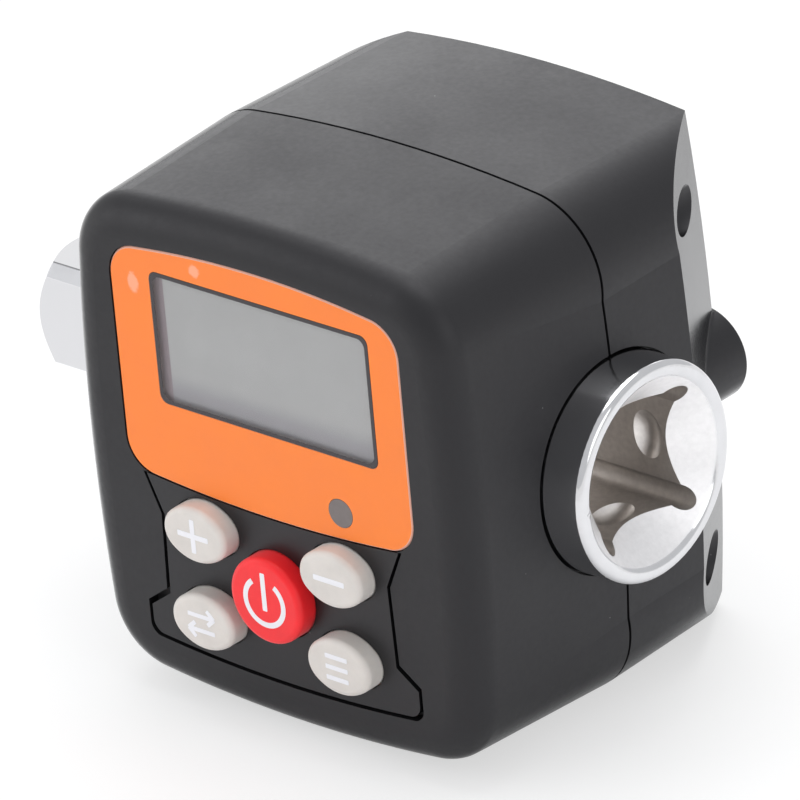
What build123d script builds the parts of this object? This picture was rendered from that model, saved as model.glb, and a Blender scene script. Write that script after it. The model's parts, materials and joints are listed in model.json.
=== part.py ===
from build123d import *
from math import cos, radians, sin, sqrt, tan
import os

os.makedirs("parts", exist_ok=True)

# Digital torque adapter, half inch square drive.
# X is the shaft axis, with the origin in the mouth of the female square.
# Y points to the back of the housing and Z is up. All sizes are in millimetres.

# Square drive and torque shaft
drive_square = 12.7
socket_play = 0.25
socket_depth = 16.0
socket_bottom_radius = 5.0
socket_bottom_depth = 2.0
corner_groove_radius = 1.25
corner_groove_reach = 9.6
mouth_radius = 9.1
mouth_bevel_angle = 45.0
rim_round = 0.8
dimple_depth_in = 6.5
dimple_reach = 4.0
dimple_round = 2.2
dimple_deep = 1.1
ring_radius = 11.95
ring_length = 19.5
journal_radius = 9.5
waist_radius = 8.2
waist_length = 14.0
waist_blend = 2.0
waist_flat_half = 7.2
collar_radius = 11.0
collar_length = 12.3
collar_stand = 4.2
collar_edge = 0.6
square_length = 15.9
square_edge_break = 1.3
nose_radius = 6.1
nose_length = 2.6

# Spring ball of the male square
ball_radius = 2.4
ball_fit = 0.05
ball_stand = 0.9
ball_from_end = 7.5
ball_bore_depth = 9.6
ball_spring_wire = 0.45
ball_spring_turns = 4
ball_spring_seat_gap = 0.05
coil_steps = 10
coil_sides = 6
quarter_turns = (0, 90, 180, 270)

# Housing
case_half_width = 27.8
case_half_height = 29.7
side_bow_radius = 240.0
top_bow_radius = 167.0
corner_radius = 9.0
crease_stand = 0.25
crease_round = 3.0
rim_stand = 4.75
front_depth = 23.4
rear_depth = 24.1
front_draft_angle = 2.5
rear_draft_angle = 1.2
seam_gap = 0.35
lip_inset = 1.1
lip_fit = 0.06
lip_height = 1.4
wall = 2.2
edge_deep = 3.6
edge_wide = 4.1
edge_steps = 5
cut_over = 0.5
shaft_hole_gap = 0.26
flank_start = 12.7
flank_angle = 31.0
flank_lead = 4.0

# Battery bay that stands out at the back
bay_end_radius = 5.3
bay_stand = 0.9
bay_wall = 0.85
bay_foot_round = 0.5
bay_rim_round = 0.3
bay_floor_wall = 0.9
door_thickness = 1.1
door_fit = 0.12
door_ledge = 0.6
door_rail = 1.0
door_rail_wall = 0.8
door_rail_length = 30.0
door_finger_length = 3.6
door_finger_width = 0.8
door_finger_pitch = 1.8
door_finger_deep = 0.45
door_finger_grooves = 3
cell_radius = 4.1
cell_length = 42.5
cell_nub_radius = 1.6
cell_nub_length = 1.0
cell_edge = 0.7
cell_door_gap = 0.35
cell_floor_gap = 0.05
contact_thickness = 0.4
contact_half_width = 2.1
contact_wall_gap = 0.05
contact_spring_wire = 0.5
contact_spring_radius = 2.4
contact_spring_turns = 3
contact_spring_room = 2.3

# Case screws
screw_side_margin = 3.9
screw_top_z = case_half_height * 0.6936
screw_bottom_z = case_half_height * -0.6667
screw_well_radius = 2.3
screw_head_radius = 2.0
screw_head_height = 1.5
screw_floor = 6.0
screw_shank_radius = 1.1
screw_length = 13.0
screw_hole_gap = 0.15
screw_thread_gap = 0.02
screw_boss_wall = 1.3
screw_slot_radius = 1.0
screw_slot_deep = 0.7
screw_slot_sides = 6

# Shaft bushes and their saddles
bush_wall = 1.3
bush_length = 4.5
bush_fit = 0.03
bush_seat_gap = 0.03
saddle_depth = 14.5
saddle_half_height = 17.0

# Orange label. What lies on the front keeps its share of the housing's size.
label_half_width = case_half_width * 0.7104
label_top = case_half_height * 0.8202
label_top_bow = 122.0
label_bottom = case_half_height * -0.133
label_bottom_bow = 160.0
label_corner_radius = 3.9
label_thickness = 0.5
label_edge = 0.2
label_gap = 0.08

# Display
window_width = 29.85
window_height = 15.1
window_x = 0.75
window_z = case_half_height * 0.4552
window_corner_radius = 1.0
window_thickness = 0.7
window_ledge = 0.6
window_gap = 0.06
lcd_thickness = 1.6
lcd_margin = 0.6
lcd_behind_wall = 0.4
frame_wall = 1.2
frame_fit = 0.1
frame_lining = 0.4

# Indicator lamp
lamp_radius = 1.6
lamp_x = case_half_width * 0.3532
lamp_z = case_half_height * -0.0182
lamp_flange = 0.7
lamp_flange_thickness = 0.6
lamp_gap = 0.05
led_size = 2.0
led_height = 0.9

# Keypad
keypad_top_half = case_half_width * 0.6403
keypad_waist_top_half = case_half_width * 0.5683
keypad_waist_half = case_half_width * 0.5791
keypad_foot_half = case_half_width * 0.6799
keypad_waist_top_z = case_half_height * -0.2525
keypad_waist_bottom_z = case_half_height * -0.5522
keypad_foot_top_z = case_half_height * -0.6195
keypad_bottom_z = case_half_height * -0.7879
keypad_bottom_bow = 165.0
keypad_corner_round = 1.5
keypad_groove = 0.45
keypad_thickness = 1.4
keypad_ledge = 0.75
key_centre_z = case_half_height * -0.4232
key_dx = case_half_width * 0.3374
key_dz = case_half_height * 0.1717
key_half_width = case_half_width * 0.154
key_half_height = case_half_height * 0.1077
key_end_radius = key_half_height * 0.81
power_radius = case_half_width * 0.1763
key_stand = 2.3
key_edge_round = 0.7
key_gap = 0.16
key_flange = 0.4
key_flange_thickness = 0.7
key_flange_rest_gap = 0.1
key_travel = 0.7
key_mat_gap = 0.3

# Board and what it carries
board_thickness = 1.6
board_face = 17.2
board_gap = 0.4
board_hole_radius = 1.0
board_post_radius = 2.0
board_post_x = case_half_width * 0.7914
board_post_z = case_half_height * 0.296
board_screw_radius = 0.8
board_screw_head_radius = 1.5
board_screw_head_height = 0.8
board_screw_length = 4.4
mat_base = 0.7
mat_dome_radius = 2.6
mat_dome_wall = 0.6
contact_radius = 1.4
contact_height = 0.3
chip_height = 0.9
board_chip_places = (
    (-4.0, 19.5, 7.0, 7.0),
    (7.0, 20.0, 5.0, 4.0),
    (13.5, 20.5, 3.0, 5.0),
    (2.0, -20.0, 4.0, 3.0),
    (8.0, -20.0, 2.0, 4.0),
)
buzzer_radius = 4.5
buzzer_height = 2.4
buzzer_hole_radius = 0.9
buzzer_x = case_half_width * -0.4167
buzzer_z = case_half_height * -0.6743
gauge_length = 6.0
gauge_width = 4.0
gauge_thickness = 0.15
lead_width = 5.0
lead_thickness = 0.3

# Places that follow from the sizes above
case_mid_x = -(rim_stand + case_half_width)
front_slope = tan(radians(front_draft_angle))
rear_slope = tan(radians(rear_draft_angle))
screw_half_spacing = case_half_width - screw_side_margin
socket_side = drive_square + socket_play
front_inner = front_depth - wall
edge_start = front_depth - edge_deep
cut_plane = front_depth + cut_over
rear_inner = rear_depth - wall
ring_back = -ring_length
collar_face = case_mid_x - case_half_width - collar_stand
square_end = collar_face - square_length
collar_back = collar_face + collar_length
waist_mid = (ring_back + collar_back) / 2
bay_top = rear_depth + bay_stand
door_seat = bay_top - door_thickness
cell_y = door_seat - door_fit - cell_door_gap - cell_radius
board_back = board_face - board_thickness
bay_inner_radius = bay_end_radius - bay_wall
contact_face = (cell_length + contact_spring_room) / 2
bay_half_length = contact_face + contact_thickness + contact_wall_gap
bay_half_spacing = bay_half_length + door_ledge - bay_inner_radius
bay_floor = cell_y - cell_radius - cell_floor_gap
keys_y = front_depth + key_stand
power_key = "button_power"


def across(y):
    """Plane across the housing at depth y: local X is X, local Y is Z, and it faces the front."""
    return Plane(origin=(0, y, 0), x_dir=(1, 0, 0), z_dir=(0, -1, 0))


def along(x):
    """Plane across the shaft at x: local X is Y, local Y is Z, and it faces the ring."""
    return Plane(origin=(x, 0, 0), x_dir=(0, 1, 0), z_dir=(1, 0, 0))


def save(part, name):
    part.label = name
    export_step(part, f"parts/{name}.step")


def meet(first, first_radius, second, second_radius, side=1):
    """Point where two circles cross, on the left or right of the line from first to second."""
    span = second - first
    share = (span.length**2 + first_radius**2 - second_radius**2) / (2 * span.length)
    swing = sqrt(first_radius**2 - share**2)
    ahead = span.normalized()
    return first + ahead * share + Vector(-ahead.Y, ahead.X) * swing * side


def coil_points(radius, wire, height, turns):
    """Points of a coil spring that fills the given height, in short straight steps."""
    rise = height - wire
    points = []
    for step in range(turns * coil_steps + 1):
        turn = radians(360 * step / coil_steps)
        points.append((radius * cos(turn), radius * sin(turn), wire / 2 + rise * step / (turns * coil_steps)))
    return points


def case_outline(inset=0.0, creased=True):
    """Outline of the housing: bowed sides and ends, with corners that meet the sides in a soft crease,
    or run into them smoothly where creased is false."""
    side_radius = side_bow_radius - inset
    side_centre = Vector(case_half_width - side_bow_radius, 0)
    top_radius = top_bow_radius - inset
    top_centre = Vector(0, case_half_height - top_bow_radius)
    radius = corner_radius - inset
    corner = meet(
        top_centre,
        top_bow_radius - corner_radius,
        side_centre,
        side_bow_radius - corner_radius,
        side=-1,
    )
    if creased:
        corner_x = corner.X + crease_stand
        corner = Vector(
            corner_x, top_centre.Y + sqrt((top_bow_radius - corner_radius) ** 2 - corner_x**2)
        )
        crease = meet(side_centre, side_radius, corner, radius, side=-1)
    else:
        crease = side_centre + (corner - side_centre).normalized() * side_radius
    touch = top_centre + (corner - top_centre).normalized() * top_radius
    bulge = ((touch - corner).normalized() + (crease - corner).normalized()).normalized()
    top_half = touch.X / 2
    side_half = crease.Y / 2
    top_mid = (top_half, top_centre.Y + sqrt(top_radius**2 - top_half**2))
    side_mid = (side_centre.X + sqrt(side_radius**2 - side_half**2), side_half)
    with BuildSketch(Plane.XY) as outline:
        with BuildLine():
            ThreePointArc((0, top_centre.Y + top_radius), top_mid, touch)
            ThreePointArc(touch, corner + bulge * radius, crease)
            ThreePointArc(crease, side_mid, (side_centre.X + side_radius, 0))
            mirror(about=Plane.XZ)
            mirror(about=Plane.YZ)
        make_face()
    return Pos(case_mid_x, 0) * outline.sketch


def label_outline(grow=0.0):
    """Outline of the label: straight sides, bowed top and bottom, round corners."""
    half = label_half_width + grow
    top = label_top + grow
    bottom = label_bottom - grow
    top_drop = label_top_bow - sqrt(label_top_bow**2 - half**2)
    bottom_drop = label_bottom_bow - sqrt(label_bottom_bow**2 - half**2)
    with BuildSketch(Plane.XY) as outline:
        with BuildLine():
            ThreePointArc((-half, top - top_drop), (0, top), (half, top - top_drop))
            Line((half, top - top_drop), (half, bottom + bottom_drop))
            ThreePointArc((half, bottom + bottom_drop), (0, bottom), (-half, bottom + bottom_drop))
            Line((-half, bottom + bottom_drop), (-half, top - top_drop))
        make_face()
        fillet(outline.vertices(), label_corner_radius + grow)
    return Pos(case_mid_x, 0) * outline.sketch


def keypad_outline(inset=0.0, crown=label_bottom):
    """Outline of the keypad panel: it meets the label above, narrows at its waist and widens to its foot.
    The inset leaves the edge along the label, at the height of its crown, where it is."""
    top_half = keypad_top_half - inset
    top = crown + label_bottom_bow - sqrt(label_bottom_bow**2 - top_half**2)
    foot = keypad_foot_half - inset
    bottom = keypad_bottom_z + inset
    bottom_rise = keypad_bottom_bow - sqrt(keypad_bottom_bow**2 - foot**2)
    right = [
        (top_half, top),
        (keypad_waist_top_half - inset, keypad_waist_top_z),
        (keypad_waist_half - inset, keypad_waist_bottom_z - inset),
        (foot, keypad_foot_top_z - inset),
        (foot, bottom + bottom_rise),
    ]
    with BuildSketch(Plane.XY) as outline:
        with BuildLine():
            Polyline(*right)
            Polyline(*[(-x, z) for x, z in right])
            ThreePointArc(right[-1], (0, bottom), (-foot, bottom + bottom_rise))
            ThreePointArc(right[0], (0, crown), (-top_half, top))
        make_face()
        fillet(outline.vertices().sort_by(Axis.Y)[:2], keypad_corner_round)
    return Pos(case_mid_x, 0) * outline.sketch


def window_outline(grow=0.0):
    """Outline of the display window, with its corners rounded by at least the window's own corner."""
    with BuildSketch(Plane.XY) as outline:
        RectangleRounded(
            window_width + 2 * grow, window_height + 2 * grow, window_corner_radius + max(grow, 0)
        )
    return outline.sketch


def key_outline(name, grow=0.0):
    """Oval of four arcs for a grey key, or the round one of the power key, wider by grow all round."""
    if name == power_key:
        with BuildSketch(Plane.XY) as disc:
            Circle(power_radius + grow)
        return disc.sketch
    wide = key_half_width + grow
    high = key_half_height + grow
    end = key_end_radius + grow
    long_radius = ((wide - end) ** 2 + high**2 - end**2) / (2 * (high - end))
    end_centre = Vector(wide - end, 0)
    away = (end_centre - Vector(0, high - long_radius)).normalized()
    touch = end_centre + away * end
    with BuildSketch(Plane.XY) as oval:
        with BuildLine():
            ThreePointArc((-touch.X, touch.Y), (0, high), touch)
            ThreePointArc(touch, (wide, 0), (touch.X, -touch.Y))
            mirror(about=Plane.XZ)
            mirror(about=Plane.YZ)
        make_face()
    return oval.sketch


def key_places():
    """Name and centre of each key, seen from the front."""
    places = []
    for name, side, row in (
        ("button_plus", -1, 1),
        ("button_minus", 1, 1),
        ("button_unit", -1, -1),
        ("button_mode", 1, -1),
    ):
        centre = (case_mid_x + side * key_dx, key_centre_z + row * key_dz)
        places.append((name, centre))
    places.append((power_key, (case_mid_x, key_centre_z)))
    return places


def screw_places():
    return [
        (case_mid_x + side * screw_half_spacing, z)
        for side in (-1, 1)
        for z in (screw_top_z, screw_bottom_z)
    ]


def board_post_places():
    return [
        (case_mid_x + side * board_post_x, row * board_post_z) for side in (-1, 1) for row in (-1, 1)
    ]


# Wheel that cuts a long dimple into each flat of the female square
dimple_core = dimple_reach - dimple_round
with BuildPart() as dimple_cutter:
    with BuildSketch(Plane.XZ):
        with BuildLine():
            Polyline(
                (-dimple_round, dimple_core),
                (-dimple_round, 0),
                (dimple_round, 0),
                (dimple_round, dimple_core),
            )
            ThreePointArc((dimple_round, dimple_core), (0, dimple_reach), (-dimple_round, dimple_core))
        make_face()
    revolve(axis=Axis.X)

# Torque shaft: ring with the female square, gauged waist, collar and male square
with BuildPart() as torque_shaft:
    with BuildSketch(Plane.XZ):
        with BuildLine():
            Polyline(
                (0, 0),
                (0, ring_radius),
                (ring_back, ring_radius),
                (ring_back, journal_radius),
                (waist_mid + waist_length / 2, journal_radius),
                (waist_mid + waist_length / 2 - waist_blend, waist_radius),
                (waist_mid - waist_length / 2 + waist_blend, waist_radius),
                (waist_mid - waist_length / 2, journal_radius),
                (collar_back, journal_radius),
                (collar_back, collar_radius),
                (collar_face, collar_radius),
                (collar_face, 0),
                close=True,
            )
        make_face()
    revolve(axis=Axis.X)
    rim = torque_shaft.edges().filter_by(GeomType.CIRCLE).sort_by(Axis.X)[-1]
    fillet(rim, rim_round)
    collar_rim = torque_shaft.edges().filter_by(GeomType.CIRCLE).sort_by(Axis.X)[0]
    chamfer(collar_rim, collar_edge)
    with BuildSketch(along(0)):
        Rectangle(socket_side, socket_side)
        with PolarLocations(corner_groove_reach - corner_groove_radius, 4, start_angle=45):
            Circle(corner_groove_radius)
    extrude(amount=-socket_depth, mode=Mode.SUBTRACT)
    with BuildSketch(along(-socket_depth)):
        Circle(socket_bottom_radius)
    extrude(amount=-socket_bottom_depth, mode=Mode.SUBTRACT)
    with BuildSketch(Plane.XZ):
        with BuildLine():
            Polyline(
                (0, 0),
                (0, mouth_radius),
                (-mouth_radius / tan(radians(mouth_bevel_angle)), 0),
                close=True,
            )
        make_face()
    revolve(axis=Axis.X, mode=Mode.SUBTRACT)
    dimple_centre = socket_side / 2 + dimple_deep - dimple_reach
    for y, z in ((1, 0), (-1, 0), (0, 1), (0, -1)):
        with Locations((-dimple_depth_in, y * dimple_centre, z * dimple_centre)):
            add(dimple_cutter.part, mode=Mode.SUBTRACT)
    for turn in quarter_turns:
        flat = Plane(origin=(waist_mid, 0, 0), x_dir=(1, 0, 0), z_dir=(0, 0, 1)).rotated((turn, 0, 0))
        with BuildSketch(flat.offset(waist_flat_half)):
            Rectangle(waist_length - 2 * waist_blend, 2 * waist_radius)
        extrude(amount=waist_radius, mode=Mode.SUBTRACT)

with BuildPart() as male_square:
    with BuildSketch(along(collar_face)):
        Rectangle(drive_square, drive_square)
    extrude(amount=-square_length)
    chamfer(male_square.edges().filter_by(Axis.X), square_edge_break)
    square_corner = drive_square * sqrt(2) / 2
    with BuildSketch(Plane.XZ):
        with BuildLine():
            Polyline(
                (collar_face, 0),
                (collar_face, square_corner),
                (square_end + nose_length, square_corner),
                (square_end, nose_radius),
                (square_end, 0),
                close=True,
            )
        make_face()
    revolve(axis=Axis.X, mode=Mode.INTERSECT)
    with BuildSketch(Plane.XZ.offset(-drive_square / 2)):
        with Locations((square_end + ball_from_end, 0)):
            Circle(ball_radius + ball_fit)
    extrude(amount=ball_bore_depth, mode=Mode.SUBTRACT)

with torque_shaft:
    add(male_square.part)
save(torque_shaft.part, "torque_shaft")

# Ball and spring in the cross bore of the male square
ball_x = square_end + ball_from_end
ball_y = drive_square / 2 + ball_stand - ball_radius
with BuildPart() as detent_ball:
    with Locations((ball_x, ball_y, 0)):
        Sphere(ball_radius)
save(detent_ball.part, "detent_ball")

spring_foot = drive_square / 2 - ball_bore_depth + ball_spring_seat_gap
spring_head = ball_y - ball_radius - ball_spring_seat_gap
ball_seat = Plane(origin=(ball_x, spring_foot, 0), x_dir=(1, 0, 0), z_dir=(0, 1, 0))
with BuildPart() as detent_spring:
    with BuildLine(ball_seat) as coil:
        Polyline(
            *coil_points(
                ball_radius - ball_spring_wire, ball_spring_wire, spring_head - spring_foot, ball_spring_turns
            )
        )
    with BuildSketch(Plane(origin=coil.line @ 0, z_dir=coil.line % 0)):
        RegularPolygon(ball_spring_wire / 2, coil_sides)
    sweep(transition=Transition.RIGHT)
save(detent_spring.part, "detent_spring")


def side_lens(half_width):
    """Wide shape with bowed sides, taller than the housing, that trims the rear flanks."""
    tall = case_half_height + wall
    drop = side_bow_radius - sqrt(side_bow_radius**2 - tall**2)
    with BuildSketch(Plane.XY) as lens:
        with BuildLine():
            ThreePointArc((half_width - drop, -tall), (half_width, 0), (half_width - drop, tall))
            Line((half_width - drop, tall), (0, tall))
            Line((half_width - drop, -tall), (0, -tall))
            mirror(about=Plane.YZ)
        make_face()
    return Pos(case_mid_x, 0) * lens.sketch


def flank_form(inset=0.0):
    """Room inside the slanted flanks at the back, drawn in by inset."""
    foot = case_half_width - flank_start * rear_slope - inset / cos(radians(flank_angle))
    slope = tan(radians(flank_angle))
    before = flank_start - flank_lead
    with BuildPart() as form:
        with BuildSketch(across(before)):
            add(side_lens(foot + flank_lead * slope))
        with BuildSketch(across(bay_top)):
            add(side_lens(foot - (bay_top - flank_start) * slope))
        loft(ruled=True)
        with BuildSketch(across(before)):
            add(side_lens(case_half_width + wall))
        extrude(amount=before)
    return form.part


def screw_columns(radius):
    with BuildSketch(Plane.XY) as columns:
        with Locations(*screw_places()):
            Circle(radius)
    return columns.sketch


def lip_ring(gap=0.0):
    """Ring of the lip that closes the seam, or of the rebate that takes it, wider by gap all round."""
    with BuildSketch(Plane.XY) as ring:
        add(case_outline(inset=lip_inset + lip_fit - gap))
        add(case_outline(inset=wall - lip_fit + 2 * gap), mode=Mode.SUBTRACT)
        add(screw_columns(screw_well_radius + screw_boss_wall + lip_fit - gap), mode=Mode.SUBTRACT)
    return ring.sketch


right_wall_x = case_mid_x + case_half_width - wall
left_wall_x = case_mid_x - case_half_width + wall
bush_places = (
    ("shaft_bush_right", right_wall_x - bush_seat_gap - bush_length, ring_radius, 1),
    ("shaft_bush_left", left_wall_x + bush_seat_gap, collar_radius, -1),
)


def saddle_blocks(depth):
    """Blocks that carry the bushes, from the side walls inward, before they are bored."""
    with BuildSketch(Plane.XY) as blocks:
        for _, start, _, side in bush_places:
            inner = start if side > 0 else start + bush_length
            with Locations((inner, 0)):
                Rectangle(
                    bush_length + wall,
                    2 * saddle_half_height,
                    align=(Align.MIN if side > 0 else Align.MAX, Align.CENTER),
                )
    return blocks.sketch


with BuildPart() as shaft_way:
    for _, start, radius, side in bush_places:
        with BuildSketch(along(start - bush_seat_gap)):
            Circle(radius + bush_wall + bush_seat_gap)
        extrude(amount=bush_length + 2 * bush_seat_gap)
        with BuildSketch(along(start)):
            Circle(radius + shaft_hole_gap)
        extrude(amount=side * case_half_width)
    with BuildSketch(along(collar_face)):
        Circle(journal_radius + shaft_hole_gap)
    extrude(amount=-collar_face)


# Front half of the housing
with BuildPart() as front_cavity:
    with BuildSketch(across(0)):
        add(case_outline(inset=wall))
    with BuildSketch(across(-front_inner)):
        add(case_outline(inset=wall + front_inner * front_slope, creased=False))
    loft(ruled=True)
    with BuildSketch(across(0)):
        add(screw_columns(screw_shank_radius + screw_thread_gap + screw_boss_wall))
    extrude(amount=front_inner, mode=Mode.SUBTRACT)
    with BuildSketch(across(0)):
        add(saddle_blocks(saddle_depth))
    extrude(amount=saddle_depth, mode=Mode.SUBTRACT)
    with BuildSketch(across(-board_face)):
        with Locations(*board_post_places()):
            Circle(board_post_radius)
    extrude(amount=front_inner - board_face, mode=Mode.SUBTRACT)

with BuildPart() as front_case:
    with BuildSketch(across(-seam_gap / 2)):
        add(case_outline())
    with BuildSketch(across(-edge_start)):
        add(case_outline(inset=edge_start * front_slope, creased=False))
    loft(ruled=True)

with BuildPart() as front_edge:
    for step in range(edge_steps + 1):
        turn = radians(90 * step / edge_steps)
        with BuildSketch(across(-edge_start - edge_deep * sin(turn))):
            add(case_outline(inset=edge_start * front_slope + edge_wide * (1 - cos(turn)), creased=False))
    loft()

with front_case:
    add(front_edge.part)
    with BuildSketch(across(-seam_gap / 2)):
        add(lip_ring())
    extrude(amount=-(seam_gap + lip_height))
    add(front_cavity.part, mode=Mode.SUBTRACT)
    add(shaft_way.part, mode=Mode.SUBTRACT)
    with BuildSketch(across(-cut_plane)):
        add(label_outline(grow=label_gap))
    extrude(amount=-(cut_over + label_thickness), mode=Mode.SUBTRACT)
    with BuildSketch(across(-cut_plane)):
        add(keypad_outline())
    extrude(amount=-(cut_over + keypad_thickness), mode=Mode.SUBTRACT)
    with BuildSketch(across(-cut_plane)):
        add(keypad_outline(inset=keypad_ledge))
    extrude(amount=-(cut_over + wall), mode=Mode.SUBTRACT)
    with BuildSketch(across(-cut_plane)):
        with Locations((case_mid_x + window_x, window_z)):
            add(window_outline(grow=window_gap))
    extrude(amount=-(cut_over + window_thickness), mode=Mode.SUBTRACT)
    with BuildSketch(across(-cut_plane)):
        with Locations((case_mid_x + window_x, window_z)):
            add(window_outline(grow=-window_ledge))
        with Locations((case_mid_x + lamp_x, lamp_z)):
            Circle(lamp_radius + lamp_gap)
    extrude(amount=-(cut_over + wall), mode=Mode.SUBTRACT)
    with BuildSketch(across(0)):
        add(screw_columns(screw_shank_radius + screw_thread_gap))
    extrude(amount=screw_length - screw_floor + screw_shank_radius, mode=Mode.SUBTRACT)
    with BuildSketch(across(-board_face)):
        with Locations(*board_post_places()):
            Circle(board_screw_radius + screw_thread_gap)
    extrude(amount=board_screw_length - board_thickness + board_screw_radius / 2, mode=Mode.SUBTRACT)
save(front_case.part, "front_case")

# Rear half of the housing, with slanted flanks and the standing battery bay
with BuildPart() as rear_cavity:
    with BuildSketch(across(0)):
        add(case_outline(inset=wall))
    with BuildSketch(across(rear_inner)):
        add(case_outline(inset=wall + rear_inner * rear_slope))
    loft(ruled=True)
    add(flank_form(inset=wall), mode=Mode.INTERSECT)
    with BuildSketch(across(rear_inner)):
        add(screw_columns(screw_well_radius + screw_boss_wall))
    extrude(amount=rear_inner, mode=Mode.SUBTRACT)
    with BuildSketch(across(saddle_depth)):
        add(saddle_blocks(saddle_depth))
    extrude(amount=saddle_depth, mode=Mode.SUBTRACT)
    with BuildSketch(across(rear_inner)):
        with Locations((case_mid_x, 0)):
            Rectangle(2 * (bay_half_length + bay_wall), 2 * bay_end_radius)
    extrude(amount=rear_inner - bay_floor + bay_floor_wall, mode=Mode.SUBTRACT)

with BuildPart() as rear_case:
    with BuildSketch(across(seam_gap / 2)):
        add(case_outline())
    with BuildSketch(across(rear_depth)):
        add(case_outline(inset=rear_depth * rear_slope))
    loft(ruled=True)
    add(flank_form(), mode=Mode.INTERSECT)
    with BuildSketch(across(bay_top)):
        with Locations((case_mid_x, 0)):
            SlotCenterToCenter(2 * bay_half_spacing, 2 * bay_end_radius)
    extrude(amount=bay_top - flank_start)
    fillet(rear_case.edges(Select.NEW), bay_foot_round)
    fillet(rear_case.faces().sort_by(Axis.Y)[-1].edges(), bay_rim_round)
    with BuildSketch(across(seam_gap / 2)):
        add(lip_ring(gap=lip_fit))
    extrude(amount=-(lip_height + lip_fit), mode=Mode.SUBTRACT)
    add(rear_cavity.part, mode=Mode.SUBTRACT)
    add(shaft_way.part, mode=Mode.SUBTRACT)
    with BuildSketch(across(bay_top)):
        with Locations((case_mid_x, 0)):
            SlotCenterToCenter(2 * bay_half_spacing, 2 * bay_inner_radius)
    extrude(amount=door_thickness, mode=Mode.SUBTRACT)
    with BuildSketch(across(door_seat)):
        with Locations((case_mid_x, 0)):
            SlotCenterToCenter(2 * bay_half_spacing, 2 * bay_inner_radius)
            Rectangle(2 * bay_half_length, 2 * bay_inner_radius, mode=Mode.INTERSECT)
    extrude(amount=door_seat - bay_floor, mode=Mode.SUBTRACT)
    with BuildSketch(across(bay_top)):
        add(screw_columns(screw_well_radius))
    extrude(amount=bay_top - screw_floor, mode=Mode.SUBTRACT)
    with BuildSketch(across(screw_floor)):
        add(screw_columns(screw_shank_radius + screw_hole_gap))
    extrude(amount=screw_floor, mode=Mode.SUBTRACT)
save(rear_case.part, "rear_case")

# Bushes that carry the housing on the shaft
for name, start, radius, _ in bush_places:
    with BuildPart() as bush:
        with BuildSketch(along(start)):
            Circle(radius + bush_wall)
            Circle(radius + bush_fit, mode=Mode.SUBTRACT)
        extrude(amount=bush_length)
    save(bush.part, name)

# Door of the battery bay, with two rails inside and a thumb groove outside
with BuildPart() as battery_door:
    with BuildSketch(across(bay_top)):
        with Locations((case_mid_x, 0)):
            SlotCenterToCenter(2 * bay_half_spacing, 2 * (bay_inner_radius - door_fit))
    extrude(amount=door_thickness)
    rail_z = bay_inner_radius - 2 * door_fit - door_rail_wall / 2
    with BuildSketch(across(door_seat)):
        with Locations((case_mid_x, rail_z), (case_mid_x, -rail_z)):
            Rectangle(door_rail_length, door_rail_wall)
    extrude(amount=door_rail)
    with BuildSketch(across(bay_top)):
        with GridLocations(door_finger_pitch, 0, door_finger_grooves, 1):
            with Locations((case_mid_x + bay_half_spacing - door_finger_pitch, 0)):
                SlotCenterToCenter(door_finger_length, door_finger_width, rotation=90)
    extrude(amount=door_finger_deep, mode=Mode.SUBTRACT)
save(battery_door.part, "battery_door")

# Battery cell and its contacts
cell_end = case_mid_x + contact_face
with BuildPart() as battery_cell:
    with BuildSketch(Plane(origin=(0, cell_y, 0), x_dir=(1, 0, 0), z_dir=(0, 0, 1))):
        with BuildLine():
            Polyline(
                (cell_end, 0),
                (cell_end, cell_nub_radius),
                (cell_end - cell_nub_length, cell_nub_radius),
                (cell_end - cell_nub_length, cell_radius - cell_edge),
                (cell_end - cell_nub_length - cell_edge, cell_radius),
                (cell_end - cell_length + cell_edge, cell_radius),
                (cell_end - cell_length, cell_radius - cell_edge),
                (cell_end - cell_length, 0),
                close=True,
            )
        make_face()
    revolve(axis=Axis((0, cell_y, 0), (1, 0, 0)))
save(battery_cell.part, "battery_cell")

with BuildPart() as battery_contact_plate:
    for side in (1, -1):
        with BuildSketch(along(case_mid_x + side * contact_face)):
            with Locations((cell_y, 0)):
                RectangleRounded(2 * contact_half_width, 2 * contact_half_width, contact_thickness)
        extrude(amount=side * contact_thickness)
save(battery_contact_plate.part, "battery_contact_plate")

contact_seat = Plane(origin=(case_mid_x - contact_face, cell_y, 0), x_dir=(0, 1, 0), z_dir=(1, 0, 0))
with BuildPart() as battery_contact_spring:
    with BuildLine(contact_seat) as coil:
        Polyline(
            *coil_points(
                contact_spring_radius, contact_spring_wire, contact_spring_room, contact_spring_turns
            )
        )
    with BuildSketch(Plane(origin=coil.line @ 0, z_dir=coil.line % 0)):
        RegularPolygon(contact_spring_wire / 2, coil_sides)
    sweep(transition=Transition.RIGHT)
save(battery_contact_spring.part, "battery_contact_spring")

# Case screws, driven from the back
with BuildPart() as case_screws:
    with BuildSketch(across(screw_floor + screw_head_height)):
        add(screw_columns(screw_head_radius))
    extrude(amount=screw_head_height)
    with BuildSketch(across(screw_floor)):
        add(screw_columns(screw_shank_radius))
    extrude(amount=screw_length)
    with BuildSketch(across(screw_floor + screw_head_height)):
        with Locations(*screw_places()):
            RegularPolygon(screw_slot_radius, screw_slot_sides)
    extrude(amount=screw_slot_deep, mode=Mode.SUBTRACT)
save(case_screws.part, "case_screws")

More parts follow.
